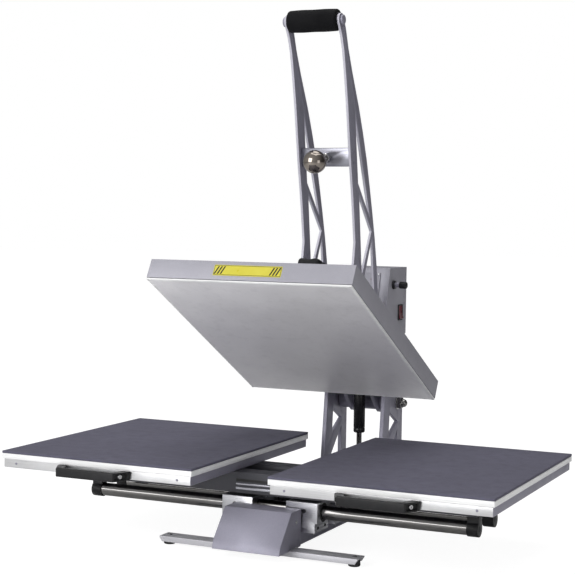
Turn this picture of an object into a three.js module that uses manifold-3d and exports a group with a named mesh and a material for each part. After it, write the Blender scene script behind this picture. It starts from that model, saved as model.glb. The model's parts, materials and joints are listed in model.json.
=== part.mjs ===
// Double-station heat press: a clamshell head over two platens on a sliding carriage.
// Millimetres, +Z up, front is -Y. The origin is on the ground under the middle of the machine.
// Inside the machine group, y is measured from the centre line of the lower platens and z from
// the ground. The head is shown open, with the carriage centred.
import * as THREE from 'three';
import { mergeVertices } from 'three/addons/utils/BufferGeometryUtils.js';
import Module from 'manifold-3d';

const wasm = await Module();
wasm.setup();

// ---- driving dimensions ----
const GAP = 0.3;                       // clearance between neighbouring pieces
const DEPTH_SHIFT = -73;               // places the middle of the machine's depth on y = 0
const PLATEN = { width: 400, depth: 500 };
const STATION_X = 273.7;               // platen centre to machine centre, also the carriage travel
const PAD_TOP = 168;
const PAD = { thick: 4.5, overhang: 0.5 };
const LOWER_PLATE_THICK = 10;
const TRAY = { height: 16, inset: 3, wall: 2 };
const TILT = THREE.MathUtils.degToRad(28.8);
const HANDLE_TURN = THREE.MathUtils.degToRad(70);
const HINGE = { y: 388, z: 222 };      // axle of the head
const HEAD_Y = -4;                     // middle of the heat platen when closed
const HEAD_Z = 178.5;                  // its lower face when closed, pressure backed off
const PIVOT_CLOSED = { y: 175, z: 300 };   // handle pivot on the head, head closed
const ANCHOR = { y: 352, z: 330 };     // toggle shaft between the posts
const SPRING_FOOT = { y: 347, z: 68 };
const SPRING_HEAD_CLOSED = { y: 330.6, z: 237.2 };
const ARM_X = [52, 57];
const POST_X = [59.5, 67.5];
const LINK_X = [38, 46];
const WEB_X = [26, 34];                // side plates of the head bridge
const RAILS = { radius: 12.5, y: [-58, 35], z: 73.5, half: 388 };
const CAP_RADIUS = 14.4;
const BLOCK_X = [34, 96];
const CAP_X = [370, 391];
const BASE = { halfWidth: 64.5, bottom: 16.8, top: 50, front: -150, rear: 425, wall: 4 };
const FOOT_BAR = { half: 198, depth: 34, bottom: 6, top: 16.5, wall: 2.2, y: [-126, 405] };
const FOOT = { radius: 11, x: 185 };
const BOX = { half: 70, bottom: 366, top: 506, rear: 425, front: 329, wall: 1.6, nose: 311, noseZ: 434 };
const GRIP = { y: 82, z: 981, radius: 21.5 };
const CROSS = { y: 149, z: 725, height: 36, thick: 6, lean: THREE.MathUtils.degToRad(11) };
const BALL = { reach: 55, radius: 22.5 };   // from the front face of the cross plate

// ---- finishes ----
const metal = (color, roughness = 0.45, metalness = 0.6) =>
  new THREE.MeshStandardMaterial({ color, roughness, metalness });
const plastic = (color, roughness = 0.55) =>
  new THREE.MeshStandardMaterial({ color, roughness, metalness: 0 });
const SILVER = metal(0x9a9aa4, 0.5, 0.35);
const HEAD_SILVER = metal(0xb4b4bc, 0.5, 0.3);
const DARK_STEEL = metal(0x45454a, 0.5, 0.5);
const ALUMINIUM = metal(0xdedee2, 0.35, 0.8);
const HOT_FACE = metal(0x9a9a9c, 0.45, 0.5);
const CHROME = metal(0xc8c4bc, 0.12, 1);
const BLACK = plastic(0x1b1b1e);
const FOAM = plastic(0x17181a, 0.9);
const PAD_FOAM = plastic(0x5c5c66, 0.85);
const RUBBER = plastic(0x1a1a1a, 0.9);
const RED = plastic(0x8a1f2a, 0.35);
const BOARD = plastic(0x2f6b3a, 0.7);
const WOOL = plastic(0xd8d2c2, 0.95);

// ---- solids ----
function solid(geometry) {
  const bare = geometry.clone();
  bare.deleteAttribute('normal');
  bare.deleteAttribute('uv');
  const merged = mergeVertices(bare, 1e-4);
  return new wasm.Manifold(new wasm.Mesh({
    numProp: 3,
    vertProperties: new Float32Array(merged.attributes.position.array),
    triVerts: new Uint32Array(merged.index.array),
  }));
}

function surface(manifold) {
  const mesh = manifold.getMesh();
  const geometry = new THREE.BufferGeometry();
  geometry.setAttribute('position', new THREE.BufferAttribute(new Float32Array(mesh.vertProperties), 3));
  geometry.setIndex(new THREE.BufferAttribute(new Uint32Array(mesh.triVerts), 1));
  geometry.computeVertexNormals();
  return geometry;
}

function cut(body, ...tools) {
  return surface(tools.reduce((rest, tool) => rest.subtract(solid(tool)), solid(body)));
}

const join = (...pieces) => surface(pieces.map(solid).reduce((whole, piece) => whole.add(piece)));

function box([x0, x1], [y0, y1], [z0, z1]) {
  const geometry = new THREE.BoxGeometry(x1 - x0, y1 - y0, z1 - z0);
  return geometry.translate((x0 + x1) / 2, (y0 + y1) / 2, (z0 + z1) / 2);
}

function outline(points, holes = []) {
  const shape = new THREE.Shape(points.map(([a, b]) => new THREE.Vector2(a, b)));
  shape.holes = holes.map((hole) => new THREE.Path(hole.map(([a, b]) => new THREE.Vector2(a, b))));
  return shape;
}

// A plate standing in the YZ plane, between two x values.
function sidePlate(points, [x0, x1], holes = []) {
  const geometry = new THREE.ExtrudeGeometry(outline(points, holes), { depth: x1 - x0, bevelEnabled: false });
  const turn = new THREE.Matrix4().makeBasis(
    new THREE.Vector3(0, 1, 0), new THREE.Vector3(0, 0, 1), new THREE.Vector3(1, 0, 0));
  return geometry.applyMatrix4(turn).translate(x0, 0, 0);
}

// A flat piece lying in the XY plane, between two z values.
function flatPlate(points, [z0, z1], holes = []) {
  const geometry = new THREE.ExtrudeGeometry(outline(points, holes), { depth: z1 - z0, bevelEnabled: false });
  return geometry.translate(0, 0, z0);
}

// A piece drawn in the XZ plane, between two y values.
function frontPlate(points, [y0, y1], holes = []) {
  const geometry = new THREE.ExtrudeGeometry(outline(points, holes), { depth: y1 - y0, bevelEnabled: false });
  return geometry.rotateX(Math.PI / 2).translate(0, y1, 0);
}

function rodX(radius, [x0, x1], y, z, sides = 24) {
  const geometry = new THREE.CylinderGeometry(radius, radius, x1 - x0, sides);
  return geometry.rotateZ(Math.PI / 2).translate((x0 + x1) / 2, y, z);
}

function rodY(radius, [y0, y1], x, z, sides = 24) {
  return new THREE.CylinderGeometry(radius, radius, y1 - y0, sides).translate(x, (y0 + y1) / 2, z);
}

function rodZ(radius, [z0, z1], x, y, sides = 24) {
  const geometry = new THREE.CylinderGeometry(radius, radius, z1 - z0, sides);
  return geometry.rotateX(Math.PI / 2).translate(x, y, (z0 + z1) / 2);
}

// A turned piece along Z: profile points are [radius, height].
function turned(profile, sides = 24) {
  const points = profile.map(([radius, height]) => new THREE.Vector2(radius, height));
  return new THREE.LatheGeometry(points, sides).rotateX(Math.PI / 2);
}

// Full profile of a turned piece from the half above the middle.
const bothEnds = (half) => [...half.map(([radius, height]) => [radius, -height]).reverse(), ...half];

// Points of an arc in degrees, for rounding an outline.
function arc(a, b, radius, from, to, steps = 6) {
  return Array.from({ length: steps + 1 }, (_, i) => {
    const angle = THREE.MathUtils.degToRad(from + ((to - from) * i) / steps);
    return [a + radius * Math.cos(angle), b + radius * Math.sin(angle)];
  });
}

const circle = (a, b, radius, steps = 20) => arc(a, b, radius, 0, 360 - 360 / steps, steps - 1);
const mirrored = ([a, b]) => [-b, -a];
const bothSides = (pair) => [['left', mirrored(pair)], ['right', pair]];

function add(parent, name, geometry, material) {
  const mesh = new THREE.Mesh(geometry, material);
  mesh.name = name;
  parent.add(mesh);
  return mesh;
}

// ---- linkage: where pins stand with the head open and closed ----
function turn([y, z], angle, about = [0, 0]) {
  const dy = y - about[0];
  const dz = z - about[1];
  const c = Math.cos(angle);
  const s = Math.sin(angle);
  return [about[0] + dy * c - dz * s, about[1] + dy * s + dz * c];
}

const hingePoint = [HINGE.y, HINGE.z];
const pivotClosed = [PIVOT_CLOSED.y, PIVOT_CLOSED.z];
const pivotOpen = turn(pivotClosed, -TILT, hingePoint);
const anchor = [ANCHOR.y, ANCHOR.z];
const springHeadOpen = turn([SPRING_HEAD_CLOSED.y, SPRING_HEAD_CLOSED.z], -TILT, hingePoint);

// The crank arm from handle pivot to link pin points at the anchor when closed, so pivot, pin
// and anchor are in line and lock. Its length follows from the link being equally long when open.
function crankPinOpen() {
  const closed = [anchor[0] - pivotClosed[0], anchor[1] - pivotClosed[1]];
  const open = [anchor[0] - pivotOpen[0], anchor[1] - pivotOpen[1]];
  const angleClosed = Math.atan2(closed[1], closed[0]);
  const angleOpen = angleClosed - HANDLE_TURN;
  const reachClosed = Math.hypot(...closed);
  const reachOpen = Math.hypot(...open);
  const along = open[0] * Math.cos(angleOpen) + open[1] * Math.sin(angleOpen);
  const crank = (reachClosed ** 2 - reachOpen ** 2) / (2 * (reachClosed - along));
  return [pivotOpen[0] + crank * Math.cos(angleOpen), pivotOpen[1] + crank * Math.sin(angleOpen)];
}
const crankPin = crankPinOpen();

// ---- base ----
function baseChassis() {
  const { halfWidth, bottom, top, front, rear, wall } = BASE;
  const channel = cut(
    box([-halfWidth, halfWidth], [front, rear], [bottom, top]),
    box([-halfWidth + wall, halfWidth - wall], [front - 1, rear + 1], [bottom - 1, top - wall]));
  const { y, z } = SPRING_FOOT;
  const lug = sidePlate([[y - 12, top - 1], [y + 12, top - 1], ...arc(y, z, 11, 0, 180)], [8, 13]);
  const pin = rodX(4.7, [-13, 13], y, z);
  return join(channel, lug, lug.clone().translate(-21, 0, 0), pin);
}

function frontCover() {
  const half = 66.5;
  const wall = 1.5;
  const skin = [[-184, 15], [-179, 31], [-134, 83], [-92, 83], [-92, 15]];
  const inside = [[-182.4, 14], [-177.6, 30.5], [-133.3, 81.5], [-91, 81.5], [-91, 14]];
  const barNotch = box([-half - 1, half + 1], [-144, -108], [14, FOOT_BAR.top + 0.8]);
  return cut(sidePlate(skin, [-half, half]), sidePlate(inside, [-half + wall, half - wall]), barNotch);
}

function footBar(y) {
  const { half, depth, bottom, top, wall } = FOOT_BAR;
  const rounded = 1.2;
  const face = [[half, top - wall], [half, top], [-half, top], [-half, top - wall],
    [-half + 5, bottom + rounded], [-half + 6, bottom], [half - 6, bottom], [half - 5, bottom + rounded]];
  return cut(
    frontPlate(face, [y - depth / 2, y + depth / 2]),
    box([-half - 1, half + 1], [y - depth / 2 + wall, y + depth / 2 - wall], [bottom - 1, top - wall]));
}

const rubberFoot = (x, y) => rodZ(FOOT.radius, [0, FOOT_BAR.top - FOOT_BAR.wall - GAP], x, y, 20);

// Grooved foot against the chassis side, wider head around the rail.
function bearingBlock(side, railY) {
  const inner = BASE.halfWidth + GAP;
  const footX = 92;
  const grooves = [44.5, 50.5].flatMap((z) => [
    [footX, z], [footX - 1.4, z], [footX - 1.4, z + 1.4], [footX, z + 1.4]]);
  const profile = [
    [BLOCK_X[0], BASE.top + GAP], [inner, BASE.top + GAP], [inner, 39.5], [footX, 39.5],
    ...grooves, [footX, 57], [BLOCK_X[1], 57], [BLOCK_X[1], 94], [BLOCK_X[0], 94],
  ].map(([x, z]) => [side * x, z]);
  if (side < 0) profile.reverse();
  const block = frontPlate(profile, [railY - 30, railY + 30]);
  const bore = rodX(RAILS.radius + GAP, side > 0 ? [30, 100] : [-100, -30], railY, RAILS.z);
  return cut(block, bore);
}

function post(xs) {
  const foot = BASE.top + GAP;
  const edge = [[296, foot], [420, foot], [420, 365.4], [326, 365.4], [317, 241], [302, 115]];
  const upperCut = [[346, 208], [394, 182], [341, 152]];
  const lowerCut = [[392, 166], [392, 102], [332, 104]];
  return sidePlate(edge, xs, [
    circle(HINGE.y, HINGE.z, 8 + GAP), circle(ANCHOR.y, ANCHOR.z, 8 + GAP), upperCut, lowerCut]);
}

// Axle along X: a round head on the left, a domed nut on the right.
function headAxle() {
  const profile = [
    [0, -77], [8, -76.5], [12, -73], [12, -67.8], [8, -67.8], [8, 67.8], [14, 67.8], [14, 70],
    [11.5, 70], [11.5, 80], [9, 86], [5, 89.2], [0, 90]];
  return turned(profile).rotateY(Math.PI / 2).translate(0, HINGE.y, HINGE.z);
}

function toggleShaft() {
  const half = [[8, 67.8], [12, 67.8], [11, 73], [0, 74]];
  return turned(bothEnds(half)).rotateY(Math.PI / 2).translate(0, ANCHOR.y, ANCHOR.z);
}

// ---- control box ----
const panelLean = Math.atan2(BOX.front - BOX.nose, BOX.top - BOX.noseZ);
const rocker = { x: 66, y: 389, z: 412, halfY: 10 };
const fuse = { y: 347, z: 471 };
const inlet = { halfX: 14, z: 400, halfZ: 10, y: 428 };

function panelGroup() {
  const group = new THREE.Group();
  group.position.set(0, (BOX.front + BOX.nose) / 2, (BOX.top + BOX.noseZ) / 2);
  group.rotation.x = Math.PI / 2 - panelLean;
  return group;
}

function controlBoxShell() {
  const { half, bottom, top, rear, front, wall, nose, noseZ } = BOX;
  const skin = [[rear, bottom], [rear, top], [front, top], [nose, noseZ], [nose - 4, bottom]];
  const inside = [
    [rear + 2, bottom + wall], [rear + 2, top - wall], [front + 1.4, top - wall],
    [nose + wall, noseZ], [nose - 4 + wall, bottom + wall]];
  const window = box([-44, 44], [-19, 19], [-6, 6]);
  const place = new THREE.Matrix4().makeRotationX(Math.PI / 2 - panelLean);
  place.setPosition(0, (front + nose) / 2, (top + noseZ) / 2);
  return cut(
    sidePlate(skin, [-half, half]),
    sidePlate(inside, [-half + wall, half - wall]),
    window.applyMatrix4(place),
    box([60, 80], [rocker.y - 11.3, rocker.y + 11.3], [rocker.z - 14.9, rocker.z + 14.9]),
    rodX(5 + GAP, [60, 80], fuse.y, fuse.z));
}

function controlBoxBack() {
  const inset = BOX.wall + GAP;
  return cut(
    box([-BOX.half + inset, BOX.half - inset], [BOX.rear - 1.8, BOX.rear],
      [BOX.bottom + inset, BOX.top - inset]),
    box([-inlet.halfX - GAP, inlet.halfX + GAP], [420, 430],
      [inlet.z - inlet.halfZ - GAP, inlet.z + inlet.halfZ + GAP]));
}

// Panel plate in its own frame: x across, y up the slope, z out of the face.
const buttonX = [-4, 14, 32];
function controlPanel() {
  const plate = join(box([-50, 50], [-26, 26], [GAP, 2.8]), box([-43, -12], [-18, 18], [-5, 1]));
  return cut(plate, ...buttonX.map((x) => rodZ(5 + GAP, [-8, 8], x, -6)));
}

const panelButton = (x) => join(rodZ(5, [-3, 4.4], x, -6), rodZ(7, [-4.4, -2.4], x, -6));

function powerInlet() {
  const flange = box([-24, 24], [425 + GAP, inlet.y], [inlet.z - 14, inlet.z + 14]);
  const body = box([-inlet.halfX, inlet.halfX], [404, 426], [inlet.z - inlet.halfZ, inlet.z + inlet.halfZ]);
  const socket = box([-12, 12], [411, 430], [inlet.z - 8, inlet.z + 8]);
  return cut(join(flange, body), socket);
}

function powerRocker() {
  const profile = [[73.4, 14], [71.2, 0], [73.4, -14], [70.2, -14], [62, -6], [62, 6], [70.2, 14]];
  return frontPlate(profile.map(([x, z]) => [x - rocker.x, z]), [-rocker.halfY, rocker.halfY]);
}

// ---- carriage ----
function railEndCap(side, railY) {
  const xs = side > 0 ? CAP_X : mirrored(CAP_X);
  const inner = side > 0 ? [CAP_X[0] - 1, RAILS.half + GAP] : [-RAILS.half - GAP, 1 - CAP_X[0]];
  return cut(
    join(rodX(CAP_RADIUS, xs, railY, RAILS.z), box(xs, [railY - 9, railY + 9], [RAILS.z, 97.2])),
    rodX(RAILS.radius + GAP, inner, railY, RAILS.z));
}

function carriageFrame() {
  const top = PAD_TOP - PAD.thick - LOWER_PLATE_THICK - TRAY.height - 3 * GAP - 0.2;
  const beams = RAILS.y.map((y) => box([-391, 391], [y - 20, y + 20], [97.5, top]));
  const ties = [-330, -150, 150, 330].map((x) => box([x - 15, x + 15], [-50, 30], [104, top - 6]));
  return join(...beams, ...ties);
}

function tray(x) {
  const halfX = PLATEN.width / 2 - TRAY.inset;
  const halfY = PLATEN.depth / 2 - TRAY.inset;
  const top = PAD_TOP - PAD.thick - LOWER_PLATE_THICK - 2 * GAP;
  const bottom = top - TRAY.height;
  return cut(
    box([x - halfX, x + halfX], [-halfY, halfY], [bottom, top]),
    box([x - halfX + TRAY.wall, x + halfX - TRAY.wall], [-halfY + TRAY.wall, halfY - TRAY.wall],
      [bottom + TRAY.wall, top + 1]));
}

function slab(x, grow, z) {
  const halfX = PLATEN.width / 2 + grow;
  const halfY = PLATEN.depth / 2 + grow;
  return box([x - halfX, x + halfX], [-halfY, halfY], z);
}

// Bow handle with slanted ends. Each slanted face has a pocket, where its screw sits.
function pullHandle(x) {
  const back = -PLATEN.depth / 2 + TRAY.inset - GAP;
  const front = back - 34.7;
  const half = [[75, back], [75, back - 6], [60, front], [0, front]];
  const innerHalf = [[0, back - 24], [50, back - 24], [59, back]];
  const points = [...half, ...half.slice(0, 3).reverse().map(([a, b]) => [-a, b]),
    ...innerHalf.slice(1).reverse().map(([a, b]) => [-a, b]), ...innerHalf.slice(1)];
  const slant = Math.atan2(15, 28.7);
  const pocket = (side) => box([-4.5, 4], [-12.5, 12.5], [139.2, 148.8])
    .rotateZ(-side * slant).translate(side * 67.5, back - 20.35, 0);
  return cut(flatPlate(points, [136, 152]), pocket(-1), pocket(1)).translate(x, 0, 0);
}

// ---- head bridge, drawn closed ----
function headBridge() {
  const edge = [
    [-34, 256], [60, 255], [250, 241], [368, 204], ...arc(HINGE.y, HINGE.z, 22, -110, 65),
    [204, 316], ...arc(PIVOT_CLOSED.y, PIVOT_CLOSED.z, 26, 35, 125), [100, 304], [34, 290], [-34, 290]];
  const webs = bothSides(WEB_X).map(([, xs]) => sidePlate(edge, xs));
  const block = box([-WEB_X[1], WEB_X[1]], [-34, 26], [256, 290]);
  const stiffener = box([-WEB_X[1], WEB_X[1]], [70, 150], [262, 268]);
  const sleeve = rodX(17, [-58, 58], HINGE.y, HINGE.z);
  const springPin = rodX(5, [-WEB_X[1], WEB_X[1]], SPRING_HEAD_CLOSED.y, SPRING_HEAD_CLOSED.z);
  return cut(
    join(...webs, block, stiffener, sleeve, springPin),
    rodX(8 + GAP, [-60, 60], HINGE.y, HINGE.z),
    rodX(10 + GAP, [-40, 40], PIVOT_CLOSED.y, PIVOT_CLOSED.z),
    rodZ(10 + GAP, [250, 300], 0, HEAD_Y));
}

// ---- head, drawn closed ----
function heatPlaten() {
  const { width, depth } = PLATEN;
  const lower = new THREE.Shape();
  lower.moveTo(-width / 2 + 2, -depth / 2 + 2);
  lower.lineTo(width / 2 - 2, -depth / 2 + 2);
  lower.lineTo(width / 2 - 2, depth / 2 - 2);
  lower.lineTo(-width / 2 + 2, depth / 2 - 2);
  const flange = new THREE.ExtrudeGeometry(lower, {
    depth: 1.5, bevelThickness: 1, bevelSize: 2, bevelSegments: 1 });
  flange.translate(0, HEAD_Y, HEAD_Z + 1);
  const body = box([-width / 2 + 3, width / 2 - 3],
    [HEAD_Y - depth / 2 + 3, HEAD_Y + depth / 2 - 3], [HEAD_Z + 2.5, HEAD_Z + 18]);
  return join(flange, body);
}

function headCover() {
  const halfX = PLATEN.width / 2 + 0.5;
  const halfY = PLATEN.depth / 2 + 0.5;
  const bottom = HEAD_Z + 3.8;
  const top = HEAD_Z + 41;
  const wall = 1.5;
  const hollow = box(
    [-halfX + wall, halfX - wall], [HEAD_Y - halfY + wall, HEAD_Y + halfY - wall], [bottom - 1, top - wall]);
  return cut(box([-halfX, halfX], [HEAD_Y - halfY, HEAD_Y + halfY], [bottom, top]), hollow);
}

const insulationBoard = () =>
  box([-190, 190], [HEAD_Y - 240, HEAD_Y + 240], [HEAD_Z + 18.4, HEAD_Z + 34]);

function pressureBoss() {
  const bottom = HEAD_Z + 41 + GAP;
  const base = box([-70, 70], [HEAD_Y - 70, HEAD_Y + 70], [bottom, bottom + 8]);
  const neck = rodZ(24, [bottom, 246], 0, HEAD_Y);
  return cut(join(base, neck), rodZ(10 + GAP, [232, 250], 0, HEAD_Y));
}

const pressureScrew = () => rodZ(10, [232.6, 329.4], 0, HEAD_Y);

function starKnob() {
  const lobes = 6;
  const steps = 48;
  const rim = Array.from({ length: steps }, (_, i) => {
    const angle = (2 * Math.PI * i) / steps;
    const radius = 33.5 + 4 * Math.cos(lobes * angle);
    return [radius * Math.cos(angle), HEAD_Y + radius * Math.sin(angle)];
  });
  return cut(
    join(flatPlate(rim, [316, 341.5]), rodZ(17, [304, 317], 0, HEAD_Y)),
    rodZ(10 + GAP, [300, 329.8], 0, HEAD_Y));
}

// ---- handle, drawn open ----
const armFront = [
  [79, 963], [88, 948], [97, 925], [107, 886], [120, 826], [139, 718], [150, 667], [160, 615], [169, 560],
  [163, 522], [156, 494], [152, 462]];
const armRear = [
  [297, 430], [294, 454], [284, 515], [271, 569], [257, 616], [240, 669], [222, 721], [200, 773], [176, 823],
  [139, 889], [118, 931], [106, 962]];
function handleArm(xs) {
  const [pinY, pinZ] = crankPin;
  const edge = [
    ...armFront, [206, 372], ...arc(pinY, pinZ, 17, 200, 370), [301, 350], ...armRear,
    ...arc(GRIP.y, GRIP.z, 13, 15, 205)];
  const cuts = [
    [[157, 812], [178, 676], [243, 608]],
    [[184, 655], [253, 581], [205, 494]],
    [[256, 568], [203, 458], [273, 458]]];
  const holes = [circle(...pivotOpen, 10 + GAP), circle(GRIP.y, GRIP.z, 7 + GAP, 16)];
  const studX = xs[0] > 0 ? [LINK_X[0] - 1, xs[0] + 1] : [xs[1] - 1, 1 - LINK_X[0]];
  return join(sidePlate(edge, xs, [...holes, ...cuts]), rodX(7, studX, pinY, pinZ, 20));
}

function armShaft() {
  const shoulder = ARM_X[1] + GAP;
  const half = [[10, shoulder], [14, shoulder], [13, 65], [0, 66]];
  return turned(bothEnds(half)).rotateY(Math.PI / 2).translate(0, ...pivotOpen);
}

function gripRod() {
  const shoulder = ARM_X[1] + GAP;
  const half = [[7, shoulder], [11, shoulder], [10, 62], [0, 63]];
  return turned(bothEnds(half), 20).rotateY(Math.PI / 2).translate(0, GRIP.y, GRIP.z);
}

function foamGrip() {
  return cut(
    rodX(GRIP.radius, [-ARM_X[0] + GAP, ARM_X[0] - GAP], GRIP.y, GRIP.z, 28),
    rodX(7 + GAP, [-60, 60], GRIP.y, GRIP.z, 20));
}

// The cross plate and its ball lever share a frame: y points back from the plate's front face.
function crossGroup() {
  const group = new THREE.Group();
  group.position.set(0, CROSS.y, CROSS.z);
  group.rotation.x = CROSS.lean;
  return group;
}

function crossPlate() {
  const half = ARM_X[0] - GAP;
  return cut(
    box([-half, half], [0, CROSS.thick], [-CROSS.height / 2, CROSS.height / 2]),
    rodY(5 + GAP, [-10, 20], 0, 0));
}

// Polished ball on a threaded stem through the cross plate, with a lock nut in front of it.
function ballLever() {
  const steps = 14;
  const round = Array.from({ length: steps }, (_, i) => {
    const angle = -Math.PI / 2 + (Math.PI * i) / steps;
    return [BALL.radius * Math.cos(angle), BALL.radius * Math.sin(angle)];
  });
  round[0][0] = 0;
  const face = BALL.reach - GAP;
  const neck = [
    [6, 21.6], [6, face - 10], [10, face - 10], [10, face], [5, face], [5, face + 12], [0, face + 12]];
  const profile = [...round.slice(0, -1), ...neck];
  const geometry = new THREE.LatheGeometry(profile.map(([r, h]) => new THREE.Vector2(r, h)), 28);
  return geometry.translate(0, -BALL.reach, 0);
}

// ---- links and gas spring, drawn open ----
const linkAngle = ([y, z]) => Math.atan2(ANCHOR.z - z, ANCHOR.y - y);

// The link pin when head and handle have gone this share of the way from open to closed.
function pinAt(share) {
  const pivot = turn(pivotOpen, TILT * share, hingePoint);
  const crank = turn([crankPin[0] - pivotOpen[0], crankPin[1] - pivotOpen[1]], HANDLE_TURN * share);
  return [pivot[0] + crank[0], pivot[1] + crank[1]];
}

// Where the toggle shaft stands in a link's own frame (pin at 0, 0, shaft along the first axis)
// while head, handle and link turn at steady ratios from open to closed.
const shaftPath = Array.from({ length: 25 }, (_, i) => {
  const share = i / 24;
  const open = linkAngle(crankPin);
  const angle = open + (linkAngle(pinAt(1)) - open) * share;
  const [y, z] = pinAt(share);
  return turn([ANCHOR.y - y, ANCHOR.z - z], -angle);
});

// Smallest outline that keeps a distance from a set of [a, b, distance] circles.
function around(circles, steps = 36) {
  return Array.from({ length: steps }, (_, i) => {
    const angle = (2 * Math.PI * i) / steps;
    const [c, s] = [Math.cos(angle), Math.sin(angle)];
    const reach = ([a, b, distance]) => a * c + b * s + distance;
    const [a, b, distance] = circles.reduce((best, next) => (reach(next) > reach(best) ? next : best));
    return [a + distance * c, b + distance * s];
  });
}

// The far eye is large enough for the shaft at every part of the swing.
function linkPlate(xs) {
  const [y0, z0] = crankPin;
  const angle = linkAngle(crankPin);
  const eye = (distance) => shaftPath.map(([a, b]) => [a, b, distance]);
  const edge = around([[0, 0, 16], ...eye(16)], 48);
  const place = (points) => points.map((point) => turn(point, angle)).map(([y, z]) => [y + y0, z + z0]);
  return sidePlate(place(edge), xs, [place(circle(0, 0, 7 + GAP)), place(around(eye(9)))]);
}

const springLength = Math.hypot(springHeadOpen[0] - SPRING_FOOT.y, springHeadOpen[1] - SPRING_FOOT.z);
function springGroup() {
  const group = new THREE.Group();
  group.position.set(0, SPRING_FOOT.y, SPRING_FOOT.z);
  group.rotation.x = Math.atan2(SPRING_FOOT.y - springHeadOpen[0], springHeadOpen[1] - SPRING_FOOT.z);
  return group;
}

// Both are drawn upright from the foot pin.
function springRod() {
  return join(
    cut(rodX(9, [-7, 7], 0, 0), rodX(4.7 + GAP, [-10, 10], 0, 0)), rodZ(5.5, [8, 128], 0, 0, 20));
}

function springTube() {
  const eye = cut(rodX(13, [-8, 8], 0, springLength), rodX(5 + 2, [-10, 10], 0, springLength));
  const sleeve = cut(rodZ(12, [92, springLength - 9], 0, 0), rodZ(5.5 + GAP, [90, 162], 0, 0, 20));
  return join(sleeve, eye);
}

// ---- assembly ----
const press = new THREE.Group();
const machine = new THREE.Group();
machine.position.y = DEPTH_SHIFT;
press.add(machine);

add(machine, 'base_chassis', baseChassis(), SILVER);
add(machine, 'front_cover', frontCover(), SILVER);
for (const [place, y] of [['front', FOOT_BAR.y[0]], ['rear', FOOT_BAR.y[1]]]) {
  add(machine, `${place}_foot_bar`, footBar(y), SILVER);
  add(machine, `${place}_left_foot`, rubberFoot(-FOOT.x, y), RUBBER);
  add(machine, `${place}_right_foot`, rubberFoot(FOOT.x, y), RUBBER);
}
for (const [place, y] of [['front', RAILS.y[0]], ['rear', RAILS.y[1]]]) {
  add(machine, `${place}_left_bearing_block`, bearingBlock(-1, y), ALUMINIUM);
  add(machine, `${place}_right_bearing_block`, bearingBlock(1, y), ALUMINIUM);
  add(machine, `${place}_rail`, rodX(RAILS.radius, [-RAILS.half, RAILS.half], y, RAILS.z), CHROME);
  add(machine, `${place}_left_rail_cap`, railEndCap(-1, y), BLACK);
  add(machine, `${place}_right_rail_cap`, railEndCap(1, y), BLACK);
}
add(machine, 'carriage_frame', carriageFrame(), DARK_STEEL);
for (const [side, x] of [['left', -STATION_X], ['right', STATION_X]]) {
  const plateTop = PAD_TOP - PAD.thick - GAP;
  add(machine, `${side}_tray`, tray(x), SILVER);
  add(machine, `${side}_lower_platen`, slab(x, 0, [plateTop - LOWER_PLATE_THICK, plateTop]), ALUMINIUM);
  add(machine, `${side}_foam_pad`, slab(x, PAD.overhang, [PAD_TOP - PAD.thick, PAD_TOP]), PAD_FOAM);
  add(machine, `${side}_pull_handle`, pullHandle(x), BLACK);
}
for (const [side, xs] of bothSides(POST_X)) add(machine, `${side}_post`, post(xs), SILVER);
add(machine, 'head_axle', headAxle(), CHROME);
add(machine, 'toggle_shaft', toggleShaft(), CHROME);

add(machine, 'control_box_shell', controlBoxShell(), HEAD_SILVER);
add(machine, 'control_box_back', controlBoxBack(), SILVER);
add(machine, 'controller_board', box([-45, 45], [352, 354], [380, 455]), BOARD);
add(machine, 'power_inlet', powerInlet(), BLACK);
add(machine, 'fuse_holder', rodX(5, [62, 84], fuse.y, fuse.z, 20), CHROME);
add(machine, 'fuse_cap', rodX(7.2, [84 + GAP, 100], fuse.y, fuse.z, 20), BLACK);
const switchRocker = add(machine, 'power_rocker', powerRocker(), RED);
switchRocker.position.set(rocker.x, rocker.y, rocker.z);
switchRocker.rotation.y = THREE.MathUtils.degToRad(-7);
const panel = panelGroup();
machine.add(panel);
add(panel, 'control_panel', controlPanel(), BLACK);
['set', 'up', 'down'].forEach((name, i) => {
  add(panel, `${name}_button`, panelButton(buttonX[i]), HEAD_SILVER);
});

const tilted = new THREE.Group();
tilted.position.set(0, HINGE.y, HINGE.z);
tilted.rotation.x = -TILT;
machine.add(tilted);
const head = new THREE.Group();
head.position.set(0, -HINGE.y, -HINGE.z);
tilted.add(head);
add(head, 'head_bridge', headBridge(), SILVER);
add(head, 'heat_platen', heatPlaten(), HOT_FACE);
add(head, 'insulation_board', insulationBoard(), WOOL);
add(head, 'head_cover', headCover(), HEAD_SILVER);
add(head, 'pressure_boss', pressureBoss(), SILVER);
add(head, 'pressure_screw', pressureScrew(), CHROME);
add(head, 'pressure_knob', starKnob(), BLACK);

for (const [side, xs] of bothSides(ARM_X)) add(machine, `${side}_handle_arm`, handleArm(xs), SILVER);
add(machine, 'arm_shaft', armShaft(), CHROME);
add(machine, 'grip_rod', gripRod(), CHROME);
add(machine, 'foam_grip', foamGrip(), FOAM);
const cross = crossGroup();
machine.add(cross);
add(cross, 'cross_plate', crossPlate(), ALUMINIUM);
add(cross, 'ball_lever', ballLever(), CHROME);
for (const [side, xs] of bothSides(LINK_X)) {
  add(machine, `${side}_toggle_link`, linkPlate(xs), SILVER);
}
const spring = springGroup();
machine.add(spring);
add(spring, 'gas_spring_rod', springRod(), CHROME);
add(spring, 'gas_spring_tube', springTube(), BLACK);

export default press;
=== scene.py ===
"""Double-station heat press: finished surfaces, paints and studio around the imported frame.

Lengths in this file are millimetres in the maker's own coordinates (x to the right, y back from
the middle of the lower platens, z up from the ground) until a place matrix turns them to metres.
"""
import json
import math

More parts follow.
